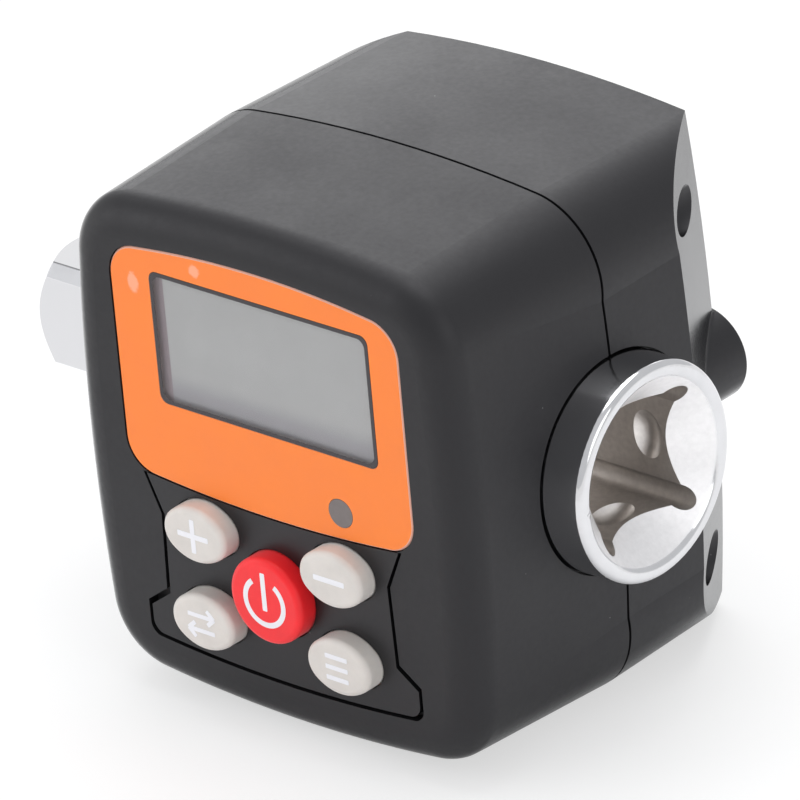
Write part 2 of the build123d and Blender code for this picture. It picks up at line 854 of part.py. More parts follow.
# Orange label, with openings for the display and the lamp
with BuildPart() as label_plate:
    with BuildSketch(across(-front_depth)):
        add(label_outline())
        with Locations((case_mid_x + window_x, window_z)):
            add(window_outline(grow=window_gap), mode=Mode.SUBTRACT)
        with Locations((case_mid_x + lamp_x, lamp_z)):
            Circle(lamp_radius + lamp_gap, mode=Mode.SUBTRACT)
    extrude(amount=-label_thickness)
    chamfer(label_plate.faces().sort_by(Axis.Y)[0].outer_wire().edges(), label_edge)
save(label_plate.part, "label_plate")

# Display window, glass and frame
with BuildPart() as display_window:
    with BuildSketch(across(-front_depth)):
        with Locations((case_mid_x + window_x, window_z)):
            add(window_outline())
    extrude(amount=-window_thickness)
save(display_window.part, "display_window")

lcd_width = window_width - 2 * window_ledge + 2 * lcd_margin
lcd_height = window_height - 2 * window_ledge + 2 * lcd_margin
lcd_front = front_inner - lcd_behind_wall
frame_front = front_inner - window_gap
frame_lip = front_depth - window_thickness - window_gap
with BuildPart() as lcd_panel:
    with BuildSketch(across(-lcd_front)):
        with Locations((case_mid_x + window_x, window_z)):
            Rectangle(lcd_width, lcd_height)
    extrude(amount=-lcd_thickness)
save(lcd_panel.part, "lcd_panel")

with BuildPart() as lcd_frame:
    with BuildSketch(across(-frame_front)):
        with Locations((case_mid_x + window_x, window_z)):
            Rectangle(lcd_width + 2 * (frame_fit + frame_wall), lcd_height + 2 * (frame_fit + frame_wall))
    extrude(amount=-(frame_front - board_face))
    with BuildSketch(across(-frame_lip)):
        with Locations((case_mid_x + window_x, window_z)):
            add(window_outline(grow=-window_ledge - frame_fit))
    extrude(amount=-(frame_lip - frame_front))
    with BuildSketch(across(-frame_lip)):
        with Locations((case_mid_x + window_x, window_z)):
            add(window_outline(grow=-window_ledge - frame_fit - frame_lining))
    extrude(amount=-(frame_lip - lcd_front), mode=Mode.SUBTRACT)
    with BuildSketch(across(-lcd_front)):
        with Locations((case_mid_x + window_x, window_z)):
            Rectangle(lcd_width + 2 * frame_fit, lcd_height + 2 * frame_fit)
    extrude(amount=-lcd_thickness, mode=Mode.SUBTRACT)
    with BuildSketch(across(-lcd_front + lcd_thickness)):
        with Locations((case_mid_x + window_x, window_z)):
            Rectangle(lcd_width - 2 * lcd_margin, lcd_height - 2 * lcd_margin)
    extrude(amount=-(lcd_front - lcd_thickness - board_face), mode=Mode.SUBTRACT)
save(lcd_frame.part, "lcd_frame")

# Indicator lamp: lens in the label and the diode behind it
with BuildPart() as indicator_window:
    with BuildSketch(across(-front_depth)):
        with Locations((case_mid_x + lamp_x, lamp_z)):
            Circle(lamp_radius)
    extrude(amount=-wall)
    with BuildSketch(across(-front_inner)):
        with Locations((case_mid_x + lamp_x, lamp_z)):
            Circle(lamp_radius + lamp_flange)
    extrude(amount=-lamp_flange_thickness)
save(indicator_window.part, "indicator_window")

with BuildPart() as indicator_led:
    with BuildSketch(across(-board_face)):
        with Locations((case_mid_x + lamp_x, lamp_z)):
            Rectangle(led_size, led_size)
    extrude(amount=led_height)
save(indicator_led.part, "indicator_led")

# Keypad panel, with a groove round it and a hole for each key
with BuildPart() as keypad_panel:
    with BuildSketch(across(-front_depth)):
        add(keypad_outline(inset=keypad_groove, crown=label_bottom - label_gap))
        for name, centre in key_places():
            with Locations(centre):
                add(key_outline(name, grow=key_gap), mode=Mode.SUBTRACT)
    extrude(amount=-keypad_thickness)
save(keypad_panel.part, "keypad_panel")

# Keys, each with a flange that the panel holds in
key_back = front_depth - keypad_thickness - key_flange_rest_gap - key_flange_thickness
for name, centre in key_places():
    with BuildPart() as key:
        with BuildSketch(across(-keys_y)):
            with Locations(centre):
                add(key_outline(name))
        extrude(amount=-(keys_y - key_back))
        fillet(key.faces().sort_by(Axis.Y)[0].edges(), key_edge_round)
        with BuildSketch(across(-key_back)):
            with Locations(centre):
                add(key_outline(name, grow=key_flange))
        extrude(amount=key_flange_thickness)
    save(key.part, name)

# Rubber mat with a dome under each key
dome_top = key_back - key_travel - key_mat_gap
with BuildPart() as keypad_mat:
    with BuildSketch(across(-board_face)):
        with Locations((case_mid_x, key_centre_z)):
            RectangleRounded(
                2 * (key_dx + key_half_width), 2 * (key_dz + key_half_height), keypad_corner_round
            )
    extrude(amount=mat_base)
    with BuildSketch(across(-board_face)):
        for _, centre in key_places():
            with Locations(centre):
                Circle(mat_dome_radius)
    extrude(amount=dome_top - board_face)
    with BuildSketch(across(-board_face)):
        for _, centre in key_places():
            with Locations(centre):
                Circle(mat_dome_radius - mat_dome_wall)
    extrude(amount=dome_top - board_face - mat_dome_wall, mode=Mode.SUBTRACT)
save(keypad_mat.part, "keypad_mat")

with BuildPart() as tact_switches:
    with BuildSketch(across(-board_face)):
        for _, centre in key_places():
            with Locations(centre):
                Circle(contact_radius)
    extrude(amount=contact_height)
save(tact_switches.part, "tact_switches")

# Board, with notches for the screw bosses and holes for its own screws
with BuildPart() as circuit_board:
    with BuildSketch(across(-board_face)):
        add(case_outline(inset=wall + board_face * front_slope + board_gap, creased=False))
        notch_in = screw_shank_radius + screw_boss_wall + board_gap
        for side in (-1, 1):
            for row, z in ((Align.MIN, screw_top_z - notch_in), (Align.MAX, screw_bottom_z + notch_in)):
                with Locations((case_mid_x + side * (screw_half_spacing - notch_in), z)):
                    Rectangle(
                        case_half_width,
                        case_half_height,
                        align=(Align.MIN if side > 0 else Align.MAX, row),
                        mode=Mode.SUBTRACT,
                    )
        with Locations(*board_post_places()):
            Circle(board_hole_radius, mode=Mode.SUBTRACT)
    extrude(amount=-board_thickness)
save(circuit_board.part, "circuit_board")

with BuildPart() as board_screws:
    with BuildSketch(across(-board_back)):
        with Locations(*board_post_places()):
            Circle(board_screw_head_radius)
    extrude(amount=-board_screw_head_height)
    with BuildSketch(across(-board_back)):
        with Locations(*board_post_places()):
            Circle(board_screw_radius)
    extrude(amount=board_screw_length)
save(board_screws.part, "board_screws")

# Chips on the back of the board: processor, amplifier, memory and regulator
with BuildPart() as board_chips:
    for x, z, wide, high in board_chip_places:
        with BuildSketch(across(-board_back)):
            with Locations((case_mid_x + x, z)):
                Rectangle(wide, high)
        extrude(amount=-chip_height)
save(board_chips.part, "board_chips")

with BuildPart() as buzzer:
    with BuildSketch(across(-board_back)):
        with Locations((case_mid_x + buzzer_x, buzzer_z)):
            Circle(buzzer_radius)
    extrude(amount=-buzzer_height)
    with BuildSketch(across(-board_back + buzzer_height)):
        with Locations((case_mid_x + buzzer_x, buzzer_z)):
            Circle(buzzer_hole_radius)
    extrude(amount=buzzer_height / 2, mode=Mode.SUBTRACT)
save(buzzer.part, "buzzer")

# Strain gauges on the four flats of the waist, and the lead from the front one to the board
with BuildPart() as strain_gauges:
    for turn in quarter_turns:
        flat = Plane(origin=(waist_mid, 0, 0), x_dir=(1, 0, 0), z_dir=(0, 0, 1)).rotated((turn, 0, 0))
        with BuildSketch(flat.offset(waist_flat_half)):
            Rectangle(gauge_length, gauge_width)
        extrude(amount=gauge_thickness)
save(strain_gauges.part, "strain_gauges")

lead_reach = board_back - waist_flat_half - gauge_thickness
with BuildPart() as gauge_lead:
    with BuildSketch(across(-waist_flat_half - gauge_thickness)):
        with Locations((waist_mid, 0)):
            Rectangle(gauge_length, lead_width)
    extrude(amount=lead_thickness)
    with BuildSketch(across(-waist_flat_half - gauge_thickness)):
        with Locations((waist_mid + gauge_length / 2, 0)):
            Rectangle(lead_thickness, lead_width)
    extrude(amount=lead_reach)
save(gauge_lead.part, "gauge_lead")
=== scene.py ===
import json
from math import cos, pi, radians, sin

import bpy
from mathutils import Matrix, Vector

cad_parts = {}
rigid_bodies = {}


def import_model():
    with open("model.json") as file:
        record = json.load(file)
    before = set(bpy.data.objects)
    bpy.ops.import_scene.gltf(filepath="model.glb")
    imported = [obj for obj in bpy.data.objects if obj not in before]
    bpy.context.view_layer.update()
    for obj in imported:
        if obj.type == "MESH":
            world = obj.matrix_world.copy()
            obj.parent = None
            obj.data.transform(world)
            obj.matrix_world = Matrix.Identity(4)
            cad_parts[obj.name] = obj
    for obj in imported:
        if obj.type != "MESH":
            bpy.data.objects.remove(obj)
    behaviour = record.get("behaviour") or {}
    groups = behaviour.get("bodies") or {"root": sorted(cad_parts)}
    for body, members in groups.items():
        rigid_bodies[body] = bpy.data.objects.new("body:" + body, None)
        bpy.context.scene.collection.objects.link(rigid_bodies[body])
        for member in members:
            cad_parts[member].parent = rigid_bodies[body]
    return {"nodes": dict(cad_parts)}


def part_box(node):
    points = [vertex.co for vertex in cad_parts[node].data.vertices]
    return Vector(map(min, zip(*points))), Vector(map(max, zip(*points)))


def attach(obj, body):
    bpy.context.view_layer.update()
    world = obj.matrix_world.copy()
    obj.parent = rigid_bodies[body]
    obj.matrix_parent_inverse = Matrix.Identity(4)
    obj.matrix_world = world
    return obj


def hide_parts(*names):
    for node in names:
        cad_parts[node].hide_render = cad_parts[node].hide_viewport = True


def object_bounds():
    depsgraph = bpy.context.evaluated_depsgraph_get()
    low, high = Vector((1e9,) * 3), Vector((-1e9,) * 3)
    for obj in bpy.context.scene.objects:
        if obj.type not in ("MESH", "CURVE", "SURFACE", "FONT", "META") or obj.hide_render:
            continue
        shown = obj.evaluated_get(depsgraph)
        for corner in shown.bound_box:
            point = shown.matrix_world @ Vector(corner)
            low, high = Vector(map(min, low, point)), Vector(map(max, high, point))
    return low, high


bl_info = {
    "name": "Digital torque adapter",
    "version": (1, 0, 0),
    "blender": (4, 5, 0),
    "location": "3D View > Sidebar > Torque adapter",
    "description": "Finishes, key symbols, stage and camera of a square drive torque adapter",
    "category": "Object",
}

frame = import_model()
CAD_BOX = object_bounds()
MM = 0.001

# Places on the carried solids
WINDOW_CORNER = 1.0 * MM    # radius of the display window's corners
MOUTH_EDGE = 10.175 * MM    # radius just inside the rounding of the ring's rim
RING_SIDE = 11.85 * MM      # radius just inside the ring's side
RIM_BACK = -0.75 * MM       # behind the rounding of the ring's rim
SOCKET_END = -18.3 * MM     # behind the floor of the female square
SHOULDER = -64.5 * MM       # shoulder at the root of the male square
TANG_TOP = 6.25 * MM        # just below the top flat of the male square
TANG_CORNER = 11.37 * MM    # |Y| + |Z| just inside its broken corners


# Sizes and colours that a user would change

class PlasticSettings(bpy.types.PropertyGroup):
    colour: bpy.props.FloatVectorProperty(
        name="Plastic", description="Colour of the moulded housing", subtype="COLOR",
        size=3, min=0, max=1, default=(0.0062, 0.0062, 0.007))
    panel_colour: bpy.props.FloatVectorProperty(
        name="Keypad panel", description="Colour of the insert round the keys", subtype="COLOR",
        size=3, min=0, max=1, default=(0.005, 0.005, 0.0057))
    grain: bpy.props.FloatProperty(
        name="Grain", description="Size of the eroded mould grain", subtype="DISTANCE",
        unit="LENGTH", default=0.16 * MM, min=0.02 * MM, precision=6)
    roughness: bpy.props.FloatProperty(
        name="Roughness", description="Mean roughness of the housing", subtype="FACTOR",
        default=0.5, min=0, max=1)


class LabelSettings(bpy.types.PropertyGroup):
    colour: bpy.props.FloatVectorProperty(
        name="Label", description="Colour of the printed label", subtype="COLOR",
        size=3, min=0, max=1, default=(1.0, 0.222, 0.018))
    edge_colour: bpy.props.FloatVectorProperty(
        name="Label edge", description="Colour of the cut edge of the label", subtype="COLOR",
        size=3, min=0, max=1, default=(0.95, 0.5, 0.38))


class DisplaySettings(bpy.types.PropertyGroup):
    glass_colour: bpy.props.FloatVectorProperty(
        name="Display", description="Colour of the blank display", subtype="COLOR",
        size=3, min=0, max=1, default=(0.48, 0.505, 0.48))
    border_colour: bpy.props.FloatVectorProperty(
        name="Border", description="Colour of the line printed round the window", subtype="COLOR",
        size=3, min=0, max=1, default=(0.03, 0.024, 0.028))
    border: bpy.props.FloatProperty(
        name="Border width", description="Width of the line printed round the window",
        subtype="DISTANCE", unit="LENGTH", default=0.45 * MM, min=0.1 * MM, precision=6)
    # Also sets where the painted shade at the bottom of the display begins and how far it reaches
    ledge: bpy.props.FloatProperty(
        name="Ledge width", description="Width of the strips seen beside the display",
        subtype="DISTANCE", unit="LENGTH", default=1.35 * MM, min=0.1 * MM, precision=6)
    pane: bpy.props.FloatProperty(
        name="Pane", description="Thickness of the clear pane", subtype="DISTANCE", unit="LENGTH",
        default=0.45 * MM, min=0.2 * MM, max=0.5 * MM, precision=6)
    ledge_colour: bpy.props.FloatVectorProperty(
        name="Ledge", description="Colour of the frame seen through the window", subtype="COLOR",
        size=3, min=0, max=1, default=(0.285, 0.24, 0.25))
    # Painted shade: the colour the display darkens to at its bottom edge
    low_shade_colour: bpy.props.FloatVectorProperty(
        name="Low strip", description="Colour of the strip below the display", subtype="COLOR",
        size=3, min=0, max=1, default=(0.33, 0.335, 0.345))


class KeySettings(bpy.types.PropertyGroup):
    grey: bpy.props.FloatVectorProperty(
        name="Grey keys", description="Colour of the four grey keys", subtype="COLOR",
        size=3, min=0, max=1, default=(0.7, 0.66, 0.62))
    red: bpy.props.FloatVectorProperty(
        name="Power key", description="Colour of the round key", subtype="COLOR",
        size=3, min=0, max=1, default=(0.95, 0.005, 0.012))
    symbol_colour: bpy.props.FloatVectorProperty(
        name="Symbols", description="Colour of the printed symbols", subtype="COLOR",
        size=3, min=0, max=1, default=(0.86, 0.86, 0.9))
    stroke: bpy.props.FloatProperty(
        name="Stroke", description="Line width of the symbols", subtype="DISTANCE",
        unit="LENGTH", default=0.62 * MM, min=0.1 * MM, precision=6)
    span: bpy.props.FloatProperty(
        name="Symbol width", description="Width of the plus and the minus", subtype="DISTANCE",
        unit="LENGTH", default=4.2 * MM, min=1 * MM, precision=6)
    film: bpy.props.FloatProperty(
        name="Print", description="Thickness of the printed symbols", subtype="DISTANCE",
        unit="LENGTH", default=0.04 * MM, min=0.01 * MM, precision=6)


class MetalSettings(bpy.types.PropertyGroup):
    chrome: bpy.props.FloatVectorProperty(
        name="Chrome", description="Colour of the plated shaft", subtype="COLOR",
        size=3, min=0, max=1, default=(0.72, 0.72, 0.735))
    socket: bpy.props.FloatVectorProperty(
        name="Socket", description="Colour of the matt inside of the socket", subtype="COLOR",
        size=3, min=0, max=1, default=(0.8, 0.765, 0.735))
    cone: bpy.props.FloatVectorProperty(
        name="Countersink", description="Colour of the frosted countersink", subtype="COLOR",
        size=3, min=0, max=1, default=(0.95, 0.94, 0.945))
    polish: bpy.props.FloatProperty(
        name="Polish", description="Roughness of the plated outside", subtype="FACTOR",
        default=0.09, min=0, max=1)
    mouth: bpy.props.FloatProperty(
        name="Mouth", description="Radius of the countersink where it meets the rim",
        subtype="DISTANCE", unit="LENGTH", default=10.55 * MM, min=9.2 * MM, max=11 * MM, precision=6)
    rim_round: bpy.props.FloatProperty(
        name="Rim", description="Rounding of the inner edge of the rim", subtype="DISTANCE",
        unit="LENGTH", default=0.4 * MM, min=0.05 * MM, precision=6)


class StageSettings(bpy.types.PropertyGroup):
    azimuth: bpy.props.FloatProperty(
        name="Azimuth", description="Camera angle round the object", subtype="ANGLE",
        unit="ROTATION", default=radians(43.1564))
    elevation: bpy.props.FloatProperty(
        name="Elevation", description="Camera angle above the floor", subtype="ANGLE",
        unit="ROTATION", default=radians(26.3078))
    roll: bpy.props.FloatProperty(
        name="Roll", description="Tilt of the camera", subtype="ANGLE", unit="ROTATION",
        default=radians(-5.1997))
    distance: bpy.props.FloatProperty(
        name="Distance", description="From the camera to the middle of the mouth's plane",
        subtype="DISTANCE", unit="LENGTH", default=1150.48 * MM)
    offset: bpy.props.FloatVectorProperty(
        name="Offset", description="Sideways and upward place of the camera", subtype="XYZ",
        size=2, default=(-26.271 * MM, 7.518 * MM), precision=6)
    focal: bpy.props.FloatProperty(
        name="Focal length", description="In pixels of an image 800 wide", default=11220.45)
    floor: bpy.props.FloatVectorProperty(
        name="Floor", description="Colour of the floor", subtype="COLOR",
        size=3, min=0, max=1, default=(0.97, 0.97, 0.97))


# Small helpers for materials and meshes

def make(tree, kind, inputs=(), **settings):
    """A node with its settings, and its inputs set to values or linked to other nodes' outputs."""
    node = tree.nodes.new(kind)
    for name, value in settings.items():
        setattr(node, name, value)
    for key, value in dict(inputs).items():
        if isinstance(value, bpy.types.NodeSocket):
            tree.links.new(value, node.inputs[key])
        else:
            node.inputs[key].default_value = value
    return node


def start_material(name):
    """A new material, its node tree, its main shader and its Object coordinates."""
    material = bpy.data.materials.new(name)
    material.use_nodes = True
    tree = material.node_tree
    shader = tree.nodes["Principled BSDF"]
    place = tree.nodes.new("ShaderNodeTexCoord").outputs["Object"]
    return material, tree, shader, place


def noise(tree, place, size, detail=3.0, roughness=0.55):
    """Noise with features of about the given size in metres."""
    return make(tree, "ShaderNodeTexNoise", {
        "Vector": place, "Scale": 1 / size, "Detail": detail, "Roughness": roughness}).outputs["Fac"]


def span(tree, value, low, high, out_low=0.0, out_high=1.0, smooth=False):
    """The value mapped from one range to another and clamped."""
    return make(
        tree, "ShaderNodeMapRange",
        {"Value": value, "From Min": low, "From Max": high, "To Min": out_low, "To Max": out_high},
        interpolation_type="SMOOTHSTEP" if smooth else "LINEAR").outputs["Result"]


def mix(tree, share, first, second):
    """Colour mixed from first to second by share."""
    return make(tree, "ShaderNodeMix", {0: share, 6: first, 7: second}, data_type="RGBA").outputs[2]


def level(tree, share, first, second):
    """Number mixed from first to second by share."""
    return make(tree, "ShaderNodeMix", {0: share, 2: first, 3: second}, data_type="FLOAT").outputs[0]


def edge(tree, value, at, soft, falling=False):
    """Nought before a value and one past it, or the reverse, with a short ramp on both sides of it."""
    ends = (1.0, 0.0) if falling else (0.0, 1.0)
    return span(tree, value, at - soft, at + soft, *ends)


def axes(tree, vector):
    """The X, Y and Z of a vector."""
    return make(tree, "ShaderNodeSeparateXYZ", {"Vector": vector}).outputs


def math(tree, operation, first, second=0.0, clamp=False):
    """Result of one operation on numbers or outputs."""
    return make(tree, "ShaderNodeMath", {0: first, 1: second}, operation=operation,
                use_clamp=clamp).outputs[0]


def rgba(colour, factor=1.0):
    """Colour with its alpha, made lighter or darker by a factor."""
    return (*(min(1.0, c * factor) for c in colour), 1.0)


def shades(tree, share, colour, first, second):
    """One colour at two factors, mixed by share."""
    return mix(tree, share, rgba(colour, first), rgba(colour, second))


def camera_sees(tree):
    """One for rays that show something straight or through the clear pane."""
    ray = tree.nodes.new("ShaderNodeLightPath").outputs
    return math(tree, "ADD", ray["Is Camera Ray"], ray["Is Transmission Ray"], clamp=True)


def bump(tree, shader, height, strength, depth):
    """Fine relief in a shader's normal."""
    node = make(tree, "ShaderNodeBump", {"Height": height, "Strength": strength, "Distance": depth})
    tree.links.new(node.outputs["Normal"], shader.inputs["Normal"])


def plain(name, size, first, second, roughness, grain, strength, depth, metallic=0.0):
    """Material of two colours mixed by noise of one size, with fine relief from noise of another."""
    material, tree, shader, place = start_material(name)
    tree.links.new(mix(tree, noise(tree, place, size), rgba(first), rgba(second)), shader.inputs["Base Color"])
    shader.inputs["Roughness"].default_value = roughness
    shader.inputs["Metallic"].default_value = metallic
    bump(tree, shader, noise(tree, place, grain), strength, depth)
    return material


def finish(nodes, material):
    """Gives CAD nodes this material."""
    for name in nodes:
        obj = frame["nodes"][name]
        if not obj.material_slots:
            obj.data.materials.append(material)
        for place in obj.material_slots:
            place.material = material


def deselect():
    """Leaves edit mode and selects nothing."""
    if bpy.context.object and bpy.context.object.mode != "OBJECT":
        bpy.ops.object.mode_set(mode="OBJECT")
    bpy.ops.object.select_all(action="DESELECT")


def settle(obj, name, material, body):
    """Names a finished piece, puts its place in its mesh, and lets it ride."""
    deselect()
    obj.select_set(True)
    bpy.context.view_layer.objects.active = obj
    bpy.ops.object.transform_apply(location=True, rotation=True, scale=True)
    bpy.ops.object.mode_set(mode="EDIT")
    bpy.ops.mesh.select_all(action="SELECT")
    bpy.ops.mesh.remove_doubles(threshold=0.002 * MM)
    bpy.ops.mesh.normals_make_consistent(inside=False)
    bpy.ops.object.mode_set(mode="OBJECT")
    obj.name = name
    obj.data.name = name
    obj.data.materials.clear()
    obj.data.materials.append(material)
    bpy.ops.object.shade_smooth_by_angle(angle=radians(35))
    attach(obj, body)
    return obj


# Materials

def moulded_black(name, colour, roughness, grain):
    """Moulded plastic: eroded grain, faint clouding and a few specks of dust."""
    material, tree, shader, place = start_material(name)
    cloud = noise(tree, place, 9 * MM, 4.0)
    fine = noise(tree, place, grain, 2.0, 0.6)
    mid = noise(tree, place, grain * 4, 2.0)
    base = shades(tree, span(tree, cloud, 0.35, 0.65), colour, 0.92, 1.1)
    cells = make(tree, "ShaderNodeTexVoronoi", {"Vector": place, "Scale": 1 / (2.6 * MM)})
    speck = span(tree, cells.outputs["Distance"], 0.018, 0.034, 1.0, 0.0)
    spot = make(tree, "ShaderNodeSeparateColor", {"Color": cells.outputs["Color"]})
    few = span(tree, spot.outputs["Red"], 0.8, 0.9)
    dusty = math(tree, "MULTIPLY", math(tree, "MULTIPLY", speck, few), 0.4)
    base = mix(tree, dusty, base, (0.4, 0.4, 0.4, 1.0))
    tree.links.new(base, shader.inputs["Base Color"])
    both = math(tree, "ADD", math(tree, "MULTIPLY", cloud, 0.5), math(tree, "MULTIPLY", mid, 0.5))
    rough = span(tree, both, 0.3, 0.7, roughness - 0.05, roughness + 0.06)
    # At a slant the grain looks finer, so the gloss there is sharper
    slant = make(tree, "ShaderNodeLayerWeight", {"Blend": 0.5}).outputs["Facing"]
    rough = math(tree, "MULTIPLY", rough, span(tree, slant, 0.6, 0.82, 1.0, 0.36))
    tree.links.new(rough, shader.inputs["Roughness"])
    shader.inputs["Specular IOR Level"].default_value = 0.5
    shader.inputs["Specular Tint"].default_value = (0.97, 0.955, 1.0, 1.0)
    height = math(tree, "ADD", math(tree, "MULTIPLY", fine, 0.7), math(tree, "MULTIPLY", mid, 0.3))
    bump(tree, shader, height, 0.22, 0.02 * MM)
    return material


class ADAPTER_OT_stage(bpy.types.Operator):
    """Makes the floor, the soft lights and the camera"""
    bl_idname = "adapter.stage"
    bl_label = "Stage"

    def execute(self, context):
        settings = context.scene.adapter_stage
        low = CAD_BOX[0]
        deselect()
        bpy.ops.mesh.primitive_plane_add(size=6.0, location=(0, 0, low.z - 0.02 * MM))
        floor = context.object
        floor.name = "floor"
        material, tree, shader, place = start_material("floor_pale")
        shader.inputs["Roughness"].default_value = 0.9
        shader.inputs["Specular IOR Level"].default_value = 0.0
        soft = noise(tree, place, 300 * MM, 2.0)
        tree.links.new(shades(tree, soft, settings.floor, 1.0, 1.02), shader.inputs["Base Color"])
        far = make(tree, "ShaderNodeVectorMath", {0: place}, operation="LENGTH").outputs["Value"]
        # The floor turns white away from the object, for the camera and in reflections
        glossy = tree.nodes.new("ShaderNodeLightPath").outputs["Is Glossy Ray"]
        near, white_from = 0.05, 0.3
        fade = span(tree, far, near, white_from, 0.6, 1.0, smooth=True)
        fade = math(tree, "MULTIPLY", fade, camera_sees(tree))
        mirrored = span(tree, far, near, white_from, 0.15, 1.0, smooth=True)
        mirrored = math(tree, "MULTIPLY", mirrored, glossy)
        fade = math(tree, "ADD", fade, mirrored, clamp=True)
        white = make(tree, "ShaderNodeEmission", {"Color": (1, 1, 1, 1), "Strength": 1.0})
        shown = make(tree, "ShaderNodeMixShader", {
            0: fade, 1: shader.outputs[0], 2: white.outputs[0]})
        tree.links.new(shown.outputs[0], tree.nodes["Material Output"].inputs["Surface"])
        floor.data.materials.append(material)

        world = bpy.data.worlds.new("pale_room")
        context.scene.world = world
        world.use_nodes = True
        tree = world.node_tree
        tree.nodes.clear()
        room = make(tree, "ShaderNodeBackground", {"Color": (0.97, 0.98, 1.0, 1.0), "Strength": 0.72})
        back = make(tree, "ShaderNodeBackground", {"Color": (1.0, 1.0, 1.0, 1.0), "Strength": 1.0})
        shown = make(tree, "ShaderNodeMixShader", {
            0: camera_sees(tree), 1: room.outputs[0], 2: back.outputs[0]})
        out = tree.nodes.new("ShaderNodeOutputWorld")
        tree.links.new(shown.outputs[0], out.inputs["Surface"])

        middle = (CAD_BOX[0] + CAD_BOX[1]) / 2
        for name, place, size, power in (
            ("softbox_above", (-0.1, 0.12, 0.75), 0.7, 2.6),
            ("softbox_left", (-0.75, -0.6, 0.35), 0.6, 1.6),
            ("softbox_right", (0.7, -0.15, 0.3), 0.5, 0.7),
            ("softbox_behind", (-0.62, 0.66, 0.5), 0.75, 2.6),
        ):
            deselect()
            bpy.ops.object.light_add(type="AREA", location=place)
            lamp = context.object
            lamp.name = name
            lamp.data.shape = "DISK"
            lamp.data.size = size
            lamp.data.energy = power
            lamp.rotation_euler = (middle - Vector(place)).to_track_quat("-Z", "Y").to_euler()

        a, e, r = settings.azimuth, settings.elevation, settings.roll
        back = Vector((sin(a) * cos(e), -cos(a) * cos(e), sin(e)))
        right = Vector((cos(a), sin(a), 0))
        up = back.cross(right)
        across = right * cos(r) + up * sin(r)
        upward = up * cos(r) - right * sin(r)
        place = across * settings.offset[0] + upward * settings.offset[1] + back * settings.distance
        deselect()
        bpy.ops.object.camera_add()
        camera = context.object
        camera.name = "camera"
        turn = Matrix((across, upward, back)).transposed().to_4x4()
        camera.matrix_world = Matrix.Translation(place) @ turn
        camera.data.sensor_width = 36.0
        camera.data.lens = settings.focal * 36.0 / 800
        camera.data.clip_start = 0.01
        camera.data.clip_end = 20
        context.scene.camera = camera
        context.scene.view_settings.view_transform = "Standard"
        return {"FINISHED"}


class ADAPTER_OT_housing(bpy.types.Operator):
    """Finishes the two halves of the housing, the battery door, the bushes and the keypad panel"""
    bl_idname = "adapter.housing"
    bl_label = "Housing"

    def execute(self, context):
        settings = context.scene.adapter_plastic
        case = moulded_black("case_black", settings.colour, settings.roughness, settings.grain)
        finish(("front_case", "rear_case", "battery_door"), case)
        panel = moulded_black("panel_black", settings.panel_colour, settings.roughness - 0.08,
                              settings.grain * 0.8)
        finish(("keypad_panel",), panel)
        bush = plain("bush_plastic", 1.5 * MM, (0.03, 0.03, 0.032), (0.045, 0.045, 0.05),
                     0.42, 0.3 * MM, 0.15, 0.02 * MM)
        finish(("shaft_bush_left", "shaft_bush_right"), bush)
        return {"FINISHED"}


class ADAPTER_OT_label(bpy.types.Operator):
    """Finishes the orange label, with its paler cut edge and light scuffs"""
    bl_idname = "adapter.label"
    bl_label = "Label"

    def execute(self, context):
        settings = context.scene.adapter_label
        material, tree, shader, place = start_material("label_orange")
        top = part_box("label_plate")[1][2]
        cloud = noise(tree, place, 6 * MM, 3.0)
        base = shades(tree, span(tree, cloud, 0.3, 0.7), settings.colour, 0.97, 1.03)
        normal = axes(tree, tree.nodes["Texture Coordinate"].outputs["Normal"])
        turned = span(tree, normal["Y"], -0.97, -0.75)
        base = mix(tree, turned, base, rgba(settings.edge_colour))
        # Scuffs: their places and half sizes in millimetres
        for x, z, wide, tall in ((-49.1, 19.15, 0.8, 1.2), (-40.2, 22.6, 0.8, 0.75)):
            at = make(tree, "ShaderNodeMapping", {
                "Vector": place, "Location": (-x * MM, 0, -z * MM)}, vector_type="POINT")
            flat = make(tree, "ShaderNodeVectorMath", {
                0: at.outputs["Vector"], 1: (1 / (wide * MM), 0, 1 / (tall * MM))}, operation="MULTIPLY")
            away = make(tree, "ShaderNodeVectorMath", {0: flat.outputs["Vector"]}, operation="LENGTH")
            ragged = math(tree, "ADD", away.outputs["Value"],
                          math(tree, "MULTIPLY", noise(tree, place, 0.5 * MM, 3.0), 0.9))
            spot = span(tree, ragged, 1.2, 1.5, 0.5, 0.0)
            base = mix(tree, spot, base, (1.0, 0.55, 0.4, 1.0))
        scratch = make(tree, "ShaderNodeMapping", {
            "Vector": place, "Scale": (0.25, 1.0, 2.2), "Rotation": (0, radians(8), 0)})
        lines = noise(tree, scratch.outputs["Vector"], 0.8 * MM, 5.0, 0.7)
        streak = span(tree, lines, 0.7, 0.76, 0.0, 0.3)
        upper = span(tree, axes(tree, place)["Z"], top - 3.2 * MM, top - 1.6 * MM)
        base = mix(tree, math(tree, "MULTIPLY", streak, upper), base, (1.0, 0.62, 0.5, 1.0))
        tree.links.new(base, shader.inputs["Base Color"])
        rough = span(tree, cloud, 0.3, 0.7, 0.36, 0.46)
        tree.links.new(rough, shader.inputs["Roughness"])
        shader.inputs["Coat Weight"].default_value = 0.05
        shader.inputs["Coat Roughness"].default_value = 0.25
        bump(tree, shader, noise(tree, place, 0.35 * MM, 2.0), 0.08, 0.02 * MM)
        finish(("label_plate",), material)
        return {"FINISHED"}


